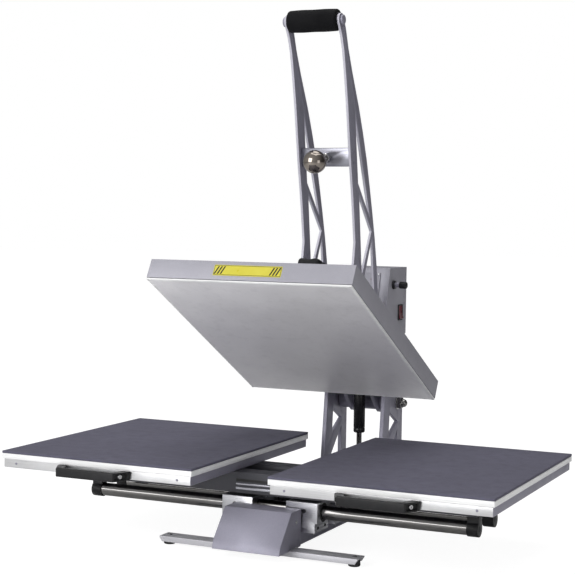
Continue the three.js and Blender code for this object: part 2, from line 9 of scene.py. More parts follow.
import bmesh
import bpy
import numpy as np
from mathutils import Matrix, Vector

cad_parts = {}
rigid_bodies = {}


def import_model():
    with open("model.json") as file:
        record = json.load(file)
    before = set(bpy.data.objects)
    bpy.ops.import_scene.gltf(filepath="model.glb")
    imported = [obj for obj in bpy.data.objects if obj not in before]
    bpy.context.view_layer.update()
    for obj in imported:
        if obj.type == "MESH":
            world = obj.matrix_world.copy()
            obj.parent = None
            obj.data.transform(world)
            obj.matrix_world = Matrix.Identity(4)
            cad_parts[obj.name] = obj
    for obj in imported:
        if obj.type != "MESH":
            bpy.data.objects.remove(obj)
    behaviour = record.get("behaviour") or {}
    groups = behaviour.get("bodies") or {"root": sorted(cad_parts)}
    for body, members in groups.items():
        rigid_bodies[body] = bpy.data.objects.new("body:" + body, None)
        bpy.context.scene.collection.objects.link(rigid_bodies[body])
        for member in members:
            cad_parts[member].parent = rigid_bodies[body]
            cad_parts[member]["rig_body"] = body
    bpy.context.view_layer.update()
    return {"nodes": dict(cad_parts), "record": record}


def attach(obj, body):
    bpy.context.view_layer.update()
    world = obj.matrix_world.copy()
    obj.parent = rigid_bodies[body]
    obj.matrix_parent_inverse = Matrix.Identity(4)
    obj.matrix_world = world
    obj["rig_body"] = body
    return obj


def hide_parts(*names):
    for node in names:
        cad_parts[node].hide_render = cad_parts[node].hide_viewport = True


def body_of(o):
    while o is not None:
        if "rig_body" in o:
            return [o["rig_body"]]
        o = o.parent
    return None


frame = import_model()
nodes = frame["nodes"]
SLOT_OF_NODE = {row["node"]: row["material_slot"] for row in frame["record"]["subparts"]}

# ---- places: matrices from millimetres to metres in the row frame ----
TILT = math.radians(28.8)
HINGE = (0.0, 388.0, 222.0)
HANDLE_PIVOT = (0.0, 238.92, 392.97)
LINK_PIN = (0.0, 294.438, 295.32)
SPRING_FOOT = (0.0, 347.0, 68.0)
PANEL_LEAN = math.atan2(18.0, 72.0)
CROSS_LEAN = math.radians(11.0)
PLATEN_Y = -4.0
STATION = 273.7
SIDES = (("left", -1), ("right", 1))
BLOCK_ENDS = ("front_left", "front_right", "rear_left", "rear_right")
RIGHTWARD = (1, 0, 0)


def shift(x, y, z):
    return np.array(Matrix.Translation((x, y, z)))


def about_x(angle):
    return np.array(Matrix.Rotation(angle, 4, "X"))


MACHINE = np.diag([0.001, 0.001, 0.001, 1.0]) @ shift(0, -73, 0)
OPENED = shift(*HINGE) @ about_x(-TILT) @ shift(*[-v for v in HINGE])
HEAD = MACHINE @ OPENED
PANEL = MACHINE @ shift(0, 320, 470) @ about_x(math.pi / 2 - PANEL_LEAN)
CROSS = MACHINE @ shift(0, 149, 725) @ about_x(CROSS_LEAN)
closed_eye = np.array([0.0, 330.6, 237.2, 1.0])
open_eye = (OPENED @ closed_eye)[:3]
SPRING_LENGTH = math.hypot(open_eye[1] - SPRING_FOOT[1], open_eye[2] - SPRING_FOOT[2])
SPRING = MACHINE @ shift(*SPRING_FOOT) @ about_x(
    math.atan2(SPRING_FOOT[1] - open_eye[1], open_eye[2] - SPRING_FOOT[2]))


def facing(place, point, direction):
    """A place whose own z runs along a direction from a point; its x and y are square to it."""
    z = np.array(direction, float)
    z /= np.linalg.norm(z)
    side = np.array([0.0, 0.0, 1.0]) if abs(z[2]) < 0.9 else np.array([0.0, 1.0, 0.0])
    x = np.cross(side, z)
    x /= np.linalg.norm(x)
    turn = np.eye(4)
    turn[:3, 0], turn[:3, 1], turn[:3, 2], turn[:3, 3] = x, np.cross(z, x), z, point
    return place @ turn


def on_side(sign, x, y, z):
    """A place on the left or right of the machine whose own z points away from the middle."""
    return facing(MACHINE, (sign * x, y, z), (sign, 0, 0))


# ---- finishes ----
class Finish:
    """A procedural finish on Object coordinates, built up from noise, tints and fine relief."""

    def __init__(self, name, colour, roughness, metallic=0.0, **constants):
        self.material = bpy.data.materials.new(name)
        self.material.use_nodes = True
        self.tree = self.material.node_tree
        self.shader = self.tree.nodes["Principled BSDF"]
        self.colour = None
        self.normal = None
        self.base = colour
        self.shader.inputs["Base Color"].default_value = (*colour, 1.0)
        self.shader.inputs["Roughness"].default_value = roughness
        self.shader.inputs["Metallic"].default_value = metallic
        for socket, value in constants.items():
            self.shader.inputs[socket.replace("_", " ")].default_value = value
        self.place = self.tree.nodes.new("ShaderNodeTexCoord").outputs["Object"]

    def link(self, source, target):
        self.tree.links.new(source, target)

    def along(self, scale, rotation=(0, 0, 0)):
        """Coordinates stretched and turned, for grain that runs one way."""
        mapping = self.tree.nodes.new("ShaderNodeMapping")
        mapping.inputs["Rotation"].default_value = rotation
        mapping.inputs["Scale"].default_value = scale
        self.link(self.place, mapping.inputs["Vector"])
        return mapping.outputs["Vector"]

    def noise(self, scale, detail, rough=0.5, where=None):
        node = self.tree.nodes.new("ShaderNodeTexNoise")
        node.inputs["Scale"].default_value = scale
        node.inputs["Detail"].default_value = detail
        node.inputs["Roughness"].default_value = rough
        self.link(where or self.place, node.inputs["Vector"])
        return node.outputs["Fac"]

    def cells(self, scale):
        node = self.tree.nodes.new("ShaderNodeTexVoronoi")
        node.inputs["Scale"].default_value = scale
        self.link(self.place, node.inputs["Vector"])
        return node.outputs["Distance"]

    def spread(self, value, low, high, to_low, to_high):
        node = self.tree.nodes.new("ShaderNodeMapRange")
        node.inputs["From Min"].default_value = low
        node.inputs["From Max"].default_value = high
        node.inputs["To Min"].default_value = to_low
        node.inputs["To Max"].default_value = to_high
        self.link(value, node.inputs["Value"])
        return node.outputs["Result"]

    def maths(self, operation, a, b=None):
        node = self.tree.nodes.new("ShaderNodeMath")
        node.operation = operation
        for socket, value in zip(node.inputs, (a, b)):
            if isinstance(value, (int, float)):
                socket.default_value = value
            elif value is not None:
                self.link(value, socket)
        return node.outputs["Value"]

    def tint(self, value, colour, low=0.35, high=0.65, most=1.0):
        """Where the value is high the finish goes towards another colour."""
        mix = self.tree.nodes.new("ShaderNodeMix")
        mix.data_type = "RGBA"
        mix.inputs["A"].default_value = (*self.base, 1.0)
        if self.colour is not None:
            self.link(self.colour, mix.inputs["A"])
        mix.inputs["B"].default_value = (*colour, 1.0)
        self.link(self.spread(value, low, high, 0.0, most), mix.inputs["Factor"])
        self.colour = mix.outputs["Result"]
        self.link(self.colour, self.shader.inputs["Base Color"])

    def rough(self, value, low, high):
        """Roughness varies between two values with the noise."""
        self.link(self.spread(value, 0.3, 0.7, low, high), self.shader.inputs["Roughness"])

    def relief(self, value, depth, strength=1.0):
        """Fine relief of a depth in millimetres."""
        bump = self.tree.nodes.new("ShaderNodeBump")
        bump.inputs["Distance"].default_value = depth / 1000
        bump.inputs["Strength"].default_value = strength
        self.link(value, bump.inputs["Height"])
        if self.normal is not None:
            self.link(self.normal, bump.inputs["Normal"])
        self.normal = bump.outputs["Normal"]
        self.link(self.normal, self.shader.inputs["Normal"])


def shade(colour, factor):
    return tuple(min(1.0, channel * factor) for channel in colour)


def powder_coat(name, colour, metallic=0.35):
    """Silver powder coat: metal flake, orange peel, slow cloudiness and rubbed patches."""
    paint = Finish(name, colour, 0.5, metallic, Coat_Weight=0.05, Coat_Roughness=0.35)
    paint.tint(paint.noise(9, 3), shade(colour, 1.10), 0.35, 0.7)
    paint.tint(paint.noise(1500, 1), shade(colour, 1.35), 0.55, 0.75, 0.8)
    dark_flake = paint.noise(1300, 1, 0.5, paint.along((1, 1.1, 0.9)))
    paint.tint(dark_flake, shade(colour, 0.72), 0.55, 0.75, 0.7)
    paint.rough(paint.noise(34, 4, 0.6), 0.44, 0.58)
    paint.relief(paint.noise(620, 2), 0.03)
    return paint.material


GRAIN = (8, 500, 900)


def brushed(name, colour, roughness, metallic=1.0):
    """Brushed metal: long fine lines along x over faint stains."""
    metal = Finish(name, colour, 0.34, metallic)
    lines = metal.noise(1, 3, 0.65, metal.along(GRAIN))
    metal.tint(lines, shade(colour, 0.82), 0.4, 0.7)
    metal.tint(metal.noise(14, 4), shade(colour, 1.12), 0.45, 0.75)
    metal.rough(lines, *roughness)
    metal.relief(lines, 0.02)
    return metal.material


def hot_plate_skin():
    """Satin coating on the heated face, with the fine square weave of a coated glass cloth."""
    colour = (0.84, 0.83, 0.85)
    skin = Finish("heat_platen_satin_coating", colour, 0.46, 0.4)
    flat = skin.along((1, 1, 1), (TILT, 0, 0))
    split = skin.tree.nodes.new("ShaderNodeSeparateXYZ")
    skin.link(flat, split.inputs["Vector"])
    cloth_pitch = 0.0022
    turns = 2 * math.pi / cloth_pitch
    across = skin.maths("SINE", skin.maths("MULTIPLY", split.outputs["X"], turns))
    along = skin.maths("SINE", skin.maths("MULTIPLY", split.outputs["Y"], turns))
    weave = skin.maths("MULTIPLY", across, along)
    skin.tint(skin.noise(5, 3), shade(colour, 1.12), 0.35, 0.7)
    skin.tint(weave, shade(colour, 1.2), -0.6, 1.0, 0.5)
    skin.tint(skin.noise(40, 5, 0.7), shade(colour, 0.88), 0.5, 0.8, 0.6)
    skin.rough(skin.noise(18, 4), 0.4, 0.54)
    skin.relief(weave, 0.04, 0.6)
    return skin.material


def mirror_steel(name, colour, low, high):
    """Ground and polished steel with faint finger smears."""
    steel = Finish(name, colour, low, 1.0)
    smear = steel.noise(30, 5, 0.6)
    steel.tint(smear, shade(colour, 0.86), 0.45, 0.7)
    steel.tint(steel.noise(220, 2), shade(colour, 1.1), 0.5, 0.8, 0.5)
    steel.rough(smear, low, high)
    steel.relief(steel.noise(900, 2), 0.002)
    return steel.material


def moulded(name, colour, low, high, grain=0.05):
    """Moulded plastic with spark-eroded grain and handling shine."""
    plastic = Finish(name, colour, 0.5, 0.0, Specular_IOR_Level=0.32)
    plastic.tint(plastic.noise(60, 4), shade(colour, 1.6), 0.45, 0.75)
    plastic.tint(plastic.noise(900, 2), shade(colour, 1.9), 0.55, 0.8, 0.6)
    plastic.rough(plastic.noise(45, 4), low, high)
    plastic.relief(plastic.noise(1100, 3), grain)
    return plastic.material


def foam_skin(name, colour, pores, depth, sheen):
    """Closed-cell foam: small open pores, slow colour drift and a soft sheen."""
    foam = Finish(name, colour, 0.82, 0.0, Sheen_Weight=sheen, Sheen_Roughness=0.5,
                  Specular_IOR_Level=0.2)
    cells = foam.cells(pores)
    foam.tint(foam.noise(6, 3), shade(colour, 1.16), 0.35, 0.7)
    foam.tint(foam.noise(55, 5, 0.65), shade(colour, 0.84), 0.45, 0.75)
    foam.tint(cells, shade(colour, 1.3), 0.5, 0.9, 0.7)
    foam.rough(foam.noise(25, 3), 0.74, 0.92)
    foam.relief(cells, depth)
    foam.relief(foam.noise(pores * 0.35, 4), depth)
    return foam.material


def plain_rubber():
    rubber = Finish("black_rubber_matt", (0.02, 0.02, 0.021), 0.75)
    rubber.tint(rubber.noise(80, 4), (0.045, 0.045, 0.047), 0.45, 0.8)
    rubber.rough(rubber.noise(60, 3), 0.62, 0.85)
    rubber.relief(rubber.noise(1400, 2), 0.05)
    return rubber.material


def rocker_red():
    red = Finish("rocker_red_translucent", (0.13, 0.010, 0.022), 0.26, 0.0, Coat_Weight=0.3)
    red.tint(red.noise(160, 3), (0.12, 0.008, 0.014), 0.4, 0.75)
    red.rough(red.noise(90, 3), 0.16, 0.3)
    red.relief(red.noise(700, 2), 0.01)
    return red.material


def sticker_yellow():
    film = Finish("caution_plate_yellow_film", (0.64, 0.57, 0.045), 0.36, 0.0, Coat_Weight=0.2)
    film.tint(film.noise(40, 3), (0.68, 0.62, 0.07), 0.4, 0.7)
    film.rough(film.noise(70, 3), 0.26, 0.42)
    film.relief(film.noise(500, 2), 0.01)
    return film.material


def printed_board():
    board = Finish("green_solder_mask", (0.03, 0.14, 0.05), 0.4)
    tracks = board.cells(160)
    board.tint(tracks, (0.10, 0.30, 0.10), 0.45, 0.5)
    board.rough(board.noise(50, 3), 0.32, 0.5)
    board.relief(tracks, 0.05)
    return board.material


def felted_wool():
    wool = Finish("mineral_fibre_felt", (0.66, 0.61, 0.5), 0.95, 0.0, Sheen_Weight=0.3)
    fibres = wool.noise(1, 4, 0.7, wool.along((90, 900, 900)))
    wool.tint(fibres, (0.5, 0.45, 0.35), 0.45, 0.75)
    wool.tint(wool.noise(20, 4), (0.74, 0.7, 0.6), 0.4, 0.7)
    wool.rough(wool.noise(60, 3), 0.88, 0.98)
    wool.relief(fibres, 0.3)
    return wool.material


SILVER = powder_coat("silver_powder_coat", (0.282, 0.275, 0.338))
LIGHT = powder_coat("light_silver_powder_coat", (0.36, 0.355, 0.40), 0.3)
FINISHES = {
    "silver_paint": SILVER,
    "light_paint": LIGHT,
    "dark_steel": powder_coat("dark_frame_paint", (0.06, 0.06, 0.07), 0.3),
    "bare_aluminium": brushed("brushed_aluminium", (0.69, 0.69, 0.70), (0.27, 0.37)),
    "heat_platen_face": hot_plate_skin(),
    # The polished steel's base colour is darkened as painted shade, for the rails in the shade
    # between the trays; every polished steel part takes it.
    "polished_steel": mirror_steel("polished_steel_bar", (0.23, 0.225, 0.22), 0.1, 0.17),
    "black_plastic": moulded("black_moulded_plastic", (0.0075, 0.0075, 0.0085), 0.34, 0.5),
    "spring_black": moulded("gas_spring_gloss_black", (0.008, 0.008, 0.009), 0.16, 0.28, 0.008),
    "grip_foam": foam_skin("black_grip_foam", (0.003, 0.003, 0.004), 1500, 0.12, 0.0),
    "pad_foam": foam_skin("grey_silicone_foam", (0.105, 0.102, 0.142), 1100, 0.08, 0.05),
    "black_rubber": plain_rubber(),
    "red_plastic": rocker_red(),
    "button_grey": moulded("button_grey_plastic", (0.42, 0.42, 0.45), 0.35, 0.5, 0.02),
    "circuit_board": printed_board(),
    "insulation_wool": felted_wool(),
}
YELLOW = sticker_yellow()
# Black print film for the caution plate; the front beam's upper rib uses it as painted shade.
STRIPE = moulded("black_print_film_and_painted_shade", (0.02, 0.02, 0.02), 0.3, 0.4, 0.01)
DARK_GLASS = moulded("dark_display_window", (0.006, 0.006, 0.008), 0.05, 0.1, 0.002)
ZINC = mirror_steel("zinc_plated_screws", (0.6, 0.6, 0.61), 0.2, 0.34)
BLACK_OXIDE = mirror_steel("black_oxide_screws", (0.06, 0.06, 0.065), 0.28, 0.42)
BLOCK_METAL = brushed("milled_block_aluminium", (0.62, 0.62, 0.65), (0.24, 0.36))
# Lighter metal for the front beam ribs: painted highlight.
BEAM_HIGHLIGHT_RIB = brushed("beam_rib_painted_highlight", (0.42, 0.42, 0.46), (0.2, 0.32))
# Near-white, almost non-metal finish for the lower platens and the heat platen rim: light machined
# aluminium, made brighter as painted highlight on its edges.
PLATEN_EDGE_HIGHLIGHT = brushed("platen_edge_aluminium_painted_highlight", (0.95, 0.95, 0.955), (0.3, 0.42), 0.1)
# A lighter copy of the silver paint for the arm edge faces: painted highlight where the front light
# catches the plate edges.
ARM_EDGE_HIGHLIGHT = powder_coat("arm_edge_painted_highlight_coat", (0.54, 0.53, 0.60), 0.2)
# A lighter copy of the silver paint for the foot bars: painted light from the front lamp.
FOOT_BAR_LIT_COAT = powder_coat("foot_bar_painted_light_coat", (0.60, 0.595, 0.63), 0.4)
# Chrome with a dark warm base colour: painted reflection, standing in for the dark surroundings the
# ball mirrors.
DARKENED_CHROME = mirror_steel("chrome_ball_painted_dark_reflection", (0.30, 0.265, 0.235), 0.06, 0.12)
CROSS_SATIN = brushed("satin_cross_plate", (0.36, 0.36, 0.41), (0.3, 0.42), 0.9)

# Nodes whose look differs from their slot's usual one; on the lower platens, foot bars and ball
# lever the change is painted light.
FINISH_OF_NODE = {
    "left_lower_platen": PLATEN_EDGE_HIGHLIGHT, "right_lower_platen": PLATEN_EDGE_HIGHLIGHT,
    "front_foot_bar": FOOT_BAR_LIT_COAT, "rear_foot_bar": FOOT_BAR_LIT_COAT,
    "cross_plate": CROSS_SATIN, "ball_lever": DARKENED_CHROME, "control_panel": LIGHT,
    **{end + "_bearing_block": BLOCK_METAL for end in BLOCK_ENDS},
}
# A second finish of painted light, and whether it goes on the faces that look left and right or on
# the others: a lighter paint on the arm edges as painted highlight, the darker silver paint on the
# tray sides as painted shade.
FACES_WITH_PAINTED_LIGHT = {
    "left_handle_arm": (ARM_EDGE_HIGHLIGHT, False), "right_handle_arm": (ARM_EDGE_HIGHLIGHT, False),
    "left_tray": (SILVER, True), "right_tray": (SILVER, True),
}

for name, node in nodes.items():
    node.data.materials.clear()
    node.data.materials.append(FINISH_OF_NODE.get(name, FINISHES[SLOT_OF_NODE[name]]))


# ---- making pieces ----
def mesh_piece(name, points, faces, body, slot, material=None, sharp=35):
    """A closed mesh in metres. Faces are turned outward when its signed volume is negative."""
    points = np.asarray(points, float)
    fans = [(f[0], f[i], f[i + 1]) for f in faces for i in range(1, len(f) - 1)]
    a, b, c = (points[[t[k] for t in fans]] for k in range(3))
    if np.einsum("ij,ij->i", a, np.cross(b, c)).sum() < 0:
        faces = [f[::-1] for f in faces]
    mesh = bpy.data.meshes.new(name)
    mesh.from_pydata(points.tolist(), [], faces)
    mesh.validate()
    mesh.shade_smooth()
    mesh.set_sharp_from_angle(angle=math.radians(sharp))
    mesh.materials.append(material or FINISHES[slot])
    piece = bpy.data.objects.new(name, mesh)
    bpy.context.scene.collection.objects.link(piece)
    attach(piece, body)
    return piece


def put(place, points):
    """Points in millimetres carried by a place matrix to metres."""
    flat = np.asarray(points, float).reshape(-1, 3)
    return flat @ place[:3, :3].T + place[:3, 3]


def strip_faces(rows, columns, closed_rows=False):
    """Quads of a grid that wraps round its columns, and round its rows too if they close."""
    last = rows if closed_rows else rows - 1
    i, j = np.meshgrid(np.arange(last), np.arange(columns), indexing="ij")
    up, on = (i + 1) % rows, (j + 1) % columns
    corners = (i * columns + j, up * columns + j, up * columns + on, i * columns + on)
    return np.stack(corners, -1).reshape(-1, 4).tolist()


def ring_piece(name, grid, place, body, slot, closed_rows=False, **looks):
    """A stack of rings, grid[row, column] = (x, y, z). Open ends are closed by a face or a pole."""
    rows, columns = grid.shape[:2]
    faces = strip_faces(rows, columns, closed_rows)
    points = grid.reshape(-1, 3)
    if not closed_rows:
        for row in (0, rows - 1):
            ring = list(range(row * columns, (row + 1) * columns))
            if np.ptp(grid[row], axis=0).max() < 1e-6:
                swap = set(ring[1:])
                faces = [[ring[0] if v in swap else v for v in f] for f in faces]
                faces = [list(dict.fromkeys(f)) for f in faces]
            else:
                faces.append(ring if row else ring[::-1])
        used = np.zeros(len(points), bool)
        used[[v for f in faces for v in f]] = True
        renumber = np.cumsum(used) - 1
        faces = [[int(renumber[v]) for v in f] for f in faces]
        points = points[used]
    return mesh_piece(name, put(place, points), faces, body, slot, **looks)


def eased(rows, cut, steps=3):
    """Inner corners of an open profile become small parabolas (1-t)^2 A + 2t(1-t) P + t^2 B,
    where A and B lie on the neighbouring sides at most `cut` from the corner P."""
    p = np.asarray(rows, float)
    corner, before, after = p[1:-1], p[:-2] - p[1:-1], p[2:] - p[1:-1]

    def size(side):
        return np.maximum(np.linalg.norm(side[:, :2], axis=1, keepdims=True), 1e-9)

    a = corner + before * np.minimum(cut / size(before), 0.45)
    b = corner + after * np.minimum(cut / size(after), 0.45)
    t = np.linspace(0, 1, steps + 1)[None, :, None]
    bends = (1 - t) ** 2 * a[:, None] + 2 * t * (1 - t) * corner[:, None] + t ** 2 * b[:, None]
    return np.vstack([p[:1], bends.reshape(-1, p.shape[1]), p[-1:]])


def both_ends(rows):
    """A shaft's profile from its left tip inwards, then the same rows mirrored to its right tip."""
    return [(radius, -height) for radius, height in rows] + rows[::-1]


def turned(name, rows, place, body, slot, ease=0.0, around=48, closed=False,
           lobes=0, lobe=0.0, **looks):
    """A turned or hexagonal piece. Each row is (radius, height, flat): at angle t the surface is at
    radius * ((1 - flat) + flat / cos((t mod 60 deg) - 30 deg)), plus lobe * cos(lobes * t) where
    the radius is over half the largest. The flat may be left out and then counts as 0."""
    rows = [(*row, 0.0) if len(row) == 2 else row for row in rows]
    profile = eased(rows, ease) if ease else np.asarray(rows, float)
    angle = np.linspace(0, 2 * math.pi, around, endpoint=False)
    hexagon = 1 / np.cos(np.mod(angle, math.pi / 3) - math.pi / 6)
    radius = profile[:, :1] * (1 - profile[:, 2:] + profile[:, 2:] * hexagon)
    wide = profile[:, :1] > 0.5 * profile[:, 0].max()
    radius = radius + wide * lobe * np.cos(lobes * angle)
    height = np.broadcast_to(profile[:, 1:2], radius.shape)
    grid = np.stack([radius * np.cos(angle), radius * np.sin(angle), height], -1)
    return ring_piece(name, grid, place, body, slot, closed, **looks)


def round_rectangle(half_x, half_y, corner, per_corner=6, per_side=6):
    """Outline points and their outward directions: four quarter arcs joined by divided sides."""
    t = np.linspace(0, math.pi / 2, per_corner + 1)
    centres = np.array([[1, 1], [-1, 1], [-1, -1], [1, -1]]) * [half_x - corner, half_y - corner]
    starts = np.arange(4) * math.pi / 2
    angle = starts[:, None] + t[None, :]
    out = np.stack([np.cos(angle), np.sin(angle)], -1)
    arcs = centres[:, None] + corner * out
    following = np.roll(arcs[:, 0], -1, axis=0)
    share = np.linspace(0, 1, per_side + 1)[1:-1][None, :, None]
    sides = arcs[:, -1][:, None] * (1 - share) + following[:, None] * share
    normals = np.broadcast_to(out[:, -1][:, None], sides.shape)
    return (np.concatenate([arcs, sides], 1).reshape(-1, 2),
            np.concatenate([out, normals], 1).reshape(-1, 2))


def slab_piece(name, half, corner, rows, place, body, slot, centre=(0, 0), closed=False,
               per_side=6, **looks):
    """A slab or frame with rounded corners. Each row is (inset, height, scale): the outline moved
    inward by the inset, then scaled about its centre, at that height."""
    line, out = round_rectangle(*half, corner, per_side=per_side)
    rows = np.asarray([(*row, 1.0) if len(row) == 2 else row for row in rows], float)
    flat = (line[None] - rows[:, :1, None] * out[None]) * rows[:, 2:, None] + np.asarray(centre)
    height = np.broadcast_to(rows[:, 1:2], flat.shape[:2])
    grid = np.concatenate([flat, height[..., None]], -1)
    return ring_piece(name, grid, place, body, slot, closed, **looks)


def refined(node_name, bevel):
    """A merged copy of a frame part with its edges rounded. Its flat faces are made whole again
    first, except on the arms, whose windows leave only thin ribs between them. A second finish of
    painted light goes on the faces that look left and right (painted shade on the tray sides) or on
    all the others (painted highlight on the arm edges)."""
    node = nodes[node_name]
    mesh = node.data.copy()
    made = bmesh.new()
    made.from_mesh(mesh)
    bmesh.ops.remove_doubles(made, verts=made.verts, dist=2e-6)
    if not node_name.endswith("_arm"):
        bmesh.ops.dissolve_limit(made, angle_limit=math.radians(0.6),
                                 verts=made.verts, edges=made.edges)
    made.to_mesh(mesh)
    made.free()
    mesh.shade_smooth()
    piece = bpy.data.objects.new(node_name + "_finished", mesh)
    bpy.context.scene.collection.objects.link(piece)
    rounding = piece.modifiers.new("edge_rounding", "BEVEL")
    rounding.width = bevel / 1000
    rounding.segments = 3 if bevel > 1 else 2
    rounding.limit_method = "ANGLE"
    rounding.angle_limit = math.radians(30)
    rounding.use_clamp_overlap = True
    rounding.harden_normals = True
    rounding.miter_outer = "MITER_ARC"
    # Painted light: the second finish darkens the tray sides as shade and lightens the arm edges as
    # highlight.
    if node_name in FACES_WITH_PAINTED_LIGHT:
        second, on_sides = FACES_WITH_PAINTED_LIGHT[node_name]
        mesh.materials.append(second)
        normals = np.empty(3 * len(mesh.polygons))
        mesh.polygons.foreach_get("normal", normals)
        chosen = (np.abs(normals[::3]) > 0.5) == on_sides
        mesh.polygons.foreach_set("material_index", chosen.astype(np.int32))
    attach(piece, body_of(node)[0])
    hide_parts(node_name)
    return piece


def stands_for(piece, *names):
    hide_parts(*names)
    return piece


# ---- camera, floor and light ----
CAMERA_SPOT = (1.13349, -2.54263, 0.61463)
YAW, PITCH, ROLL = (math.radians(degrees) for degrees in (24.840, 2.901, 0.819))


def set_camera():
    """A long lens in front of the machine, to its right, tipped a little down and to one side."""
    back = Vector((math.sin(YAW) * math.cos(PITCH), -math.cos(YAW) * math.cos(PITCH),
                   math.sin(PITCH)))
    right = (-back).cross(Vector((0, 0, 1))).normalized()
    up = right.cross(-back)
    leaning_right = math.cos(ROLL) * right + math.sin(ROLL) * up
    leaning_up = -math.sin(ROLL) * right + math.cos(ROLL) * up
    data = bpy.data.cameras.new("studio_camera")
    data.lens, data.sensor_width = 91.27, 36.0
    data.clip_end = 60
    camera = bpy.data.objects.new("studio_camera", data)
    turn = Matrix((leaning_right, leaning_up, back)).transposed().to_4x4()
    camera.matrix_world = Matrix.Translation(CAMERA_SPOT) @ turn
    bpy.context.scene.collection.objects.link(camera)
    bpy.context.scene.camera = camera


def soft_light(name, spot, target, size, watts):
    data = bpy.data.lights.new(name, "AREA")
    data.shape, data.size, data.energy = "SQUARE", size, watts
    lamp = bpy.data.objects.new(name, data)
    lamp.location = spot
    lamp.rotation_euler = (Vector(target) - Vector(spot)).to_track_quat("-Z", "Y").to_euler()
    bpy.context.scene.collection.objects.link(lamp)


def studio_sky():
    """White behind everything; its light on the object is strongest from the front left."""
    world = bpy.data.worlds.new("studio_white")
    world.use_nodes = True
    bpy.context.scene.world = world
    tree = world.node_tree
    tree.nodes.clear()
    out = tree.nodes.new("ShaderNodeOutputWorld")
    seen = tree.nodes.new("ShaderNodeBackground")
    lighting = tree.nodes.new("ShaderNodeBackground")
    mix = tree.nodes.new("ShaderNodeMixShader")
    seen.inputs["Color"].default_value = (1, 1, 1, 1)
    path = tree.nodes.new("ShaderNodeLightPath")
    place = tree.nodes.new("ShaderNodeTexCoord")
    dot = tree.nodes.new("ShaderNodeVectorMath")
    dot.operation = "DOT_PRODUCT"
    dot.inputs[1].default_value = Vector((-0.50, -0.82, 0.28)).normalized()
    spread = tree.nodes.new("ShaderNodeMapRange")
    spread.inputs["From Min"].default_value, spread.inputs["From Max"].default_value = -0.6, 1.0
    spread.inputs["To Min"].default_value, spread.inputs["To Max"].default_value = 0.10, 0.80
    tree.links.new(place.outputs["Generated"], dot.inputs[0])
    tree.links.new(dot.outputs["Value"], spread.inputs["Value"])
    tree.links.new(spread.outputs["Result"], lighting.inputs["Strength"])
    tree.links.new(path.outputs["Is Camera Ray"], mix.inputs["Fac"])
    tree.links.new(lighting.outputs["Background"], mix.inputs[1])
    tree.links.new(seen.outputs["Background"], mix.inputs[2])
    tree.links.new(mix.outputs["Shader"], out.inputs["Surface"])


def studio_floor():
    """A round floor on the ground, at radius * (cos t, sin t). It glows a little to the camera."""
    radius, corners = 20.0, 96
    angle = np.linspace(0, 2 * math.pi, corners, endpoint=False)
    ring = np.stack([radius * np.cos(angle), radius * np.sin(angle), np.zeros(corners)], -1)
    mesh = bpy.data.meshes.new("studio_floor")
    mesh.from_pydata(ring.tolist(), [], [list(range(corners))])
    floor = bpy.data.objects.new("studio_floor", mesh)
    bpy.context.scene.collection.objects.link(floor)
    paper = Finish("studio_floor_paper", (0.9, 0.9, 0.9), 0.9)
    paper.tint(paper.noise(3, 3), (0.93, 0.93, 0.93), 0.4, 0.7)
    glow = paper.tree.nodes.new("ShaderNodeEmission")
    path = paper.tree.nodes.new("ShaderNodeLightPath")
    mix = paper.tree.nodes.new("ShaderNodeMixShader")
    paper.link(paper.maths("MULTIPLY", path.outputs["Is Camera Ray"], 0.72), mix.inputs["Fac"])
    paper.link(paper.shader.outputs["BSDF"], mix.inputs[1])
    paper.link(glow.outputs["Emission"], mix.inputs[2])
    glow.inputs["Strength"].default_value = 1.28
    paper.link(mix.outputs["Shader"], paper.tree.nodes["Material Output"].inputs["Surface"])
    mesh.materials.append(paper.material)


set_camera()
studio_sky()
studio_floor()
soft_light("front_key", (-1.6, -3.6, 1.7), (0, 0, 0.4), 2.6, 88)
soft_light("overhead", (0.1, 0.4, 3.4), (0, 0, 0), 2.6, 40)
soft_light("right_fill", (3.2, -1.6, 0.7), (0.2, 0, 0.4), 1.6, 10)
bpy.context.scene.view_settings.view_transform = "Standard"


# ---- sheet metal and machined parts ----
EDGES = {
    "base_chassis": 1.6, "front_cover": 2.2, "front_foot_bar": 1.5, "rear_foot_bar": 1.5,
    "carriage_frame": 1.2, "left_tray": 1.2, "right_tray": 1.2,
    "left_lower_platen": 0.8, "right_lower_platen": 0.8, "left_post": 0.9, "right_post": 0.9,
    "control_box_shell": 1.3, "control_box_back": 0.6, "control_panel": 0.8,
    "head_bridge": 1.0, "heat_platen": 0.6, "insulation_board": 1.5, "head_cover": 1.4,
    "pressure_boss": 1.2, "left_handle_arm": 1.0, "right_handle_arm": 1.0, "cross_plate": 0.8,
    "left_toggle_link": 0.8, "right_toggle_link": 0.8, "power_inlet": 0.8, "power_rocker": 0.7,
    "controller_board": 0.3, "left_pull_handle": 1.6, "right_pull_handle": 1.6,
}
for end in BLOCK_ENDS:
    EDGES[end + "_bearing_block"] = 0.7
    EDGES[end + "_rail_cap"] = 1.8
for part, width in EDGES.items():
    refined(part, width)

HOT_FACE = 178.5
rim = [(5.0, -0.08), (2.0, -0.08), (0, 0.95), (0, 2.6), (1.4, 3.5), (5.0, 3.4)]
# The rim's near-white finish is painted highlight on the platen edge.
slab_piece("heat_platen_bright_rim", (200.15, 250.15), 1.2,
           [(inset, HOT_FACE + height) for inset, height in rim], HEAD, "head",
           "bare_aluminium", centre=(0, PLATEN_Y), closed=True, material=PLATEN_EDGE_HIGHLIGHT)

PAD_TOP, PAD_THICK, PAD_HALF = 168.0, 4.5, (200.4, 250.4)
RAILS = (("front", -58.0), ("rear", 35.0))
RAIL_Z, RAIL_RADIUS, RAIL_HALF = 73.5, 12.5, 388
FOOT_BARS = (("front", -126.0), ("rear", 405.0))
FOOT_X = 185
ARM_OUTSIDE = 57.0
GRIP_SPOT = (0, 82, 981)


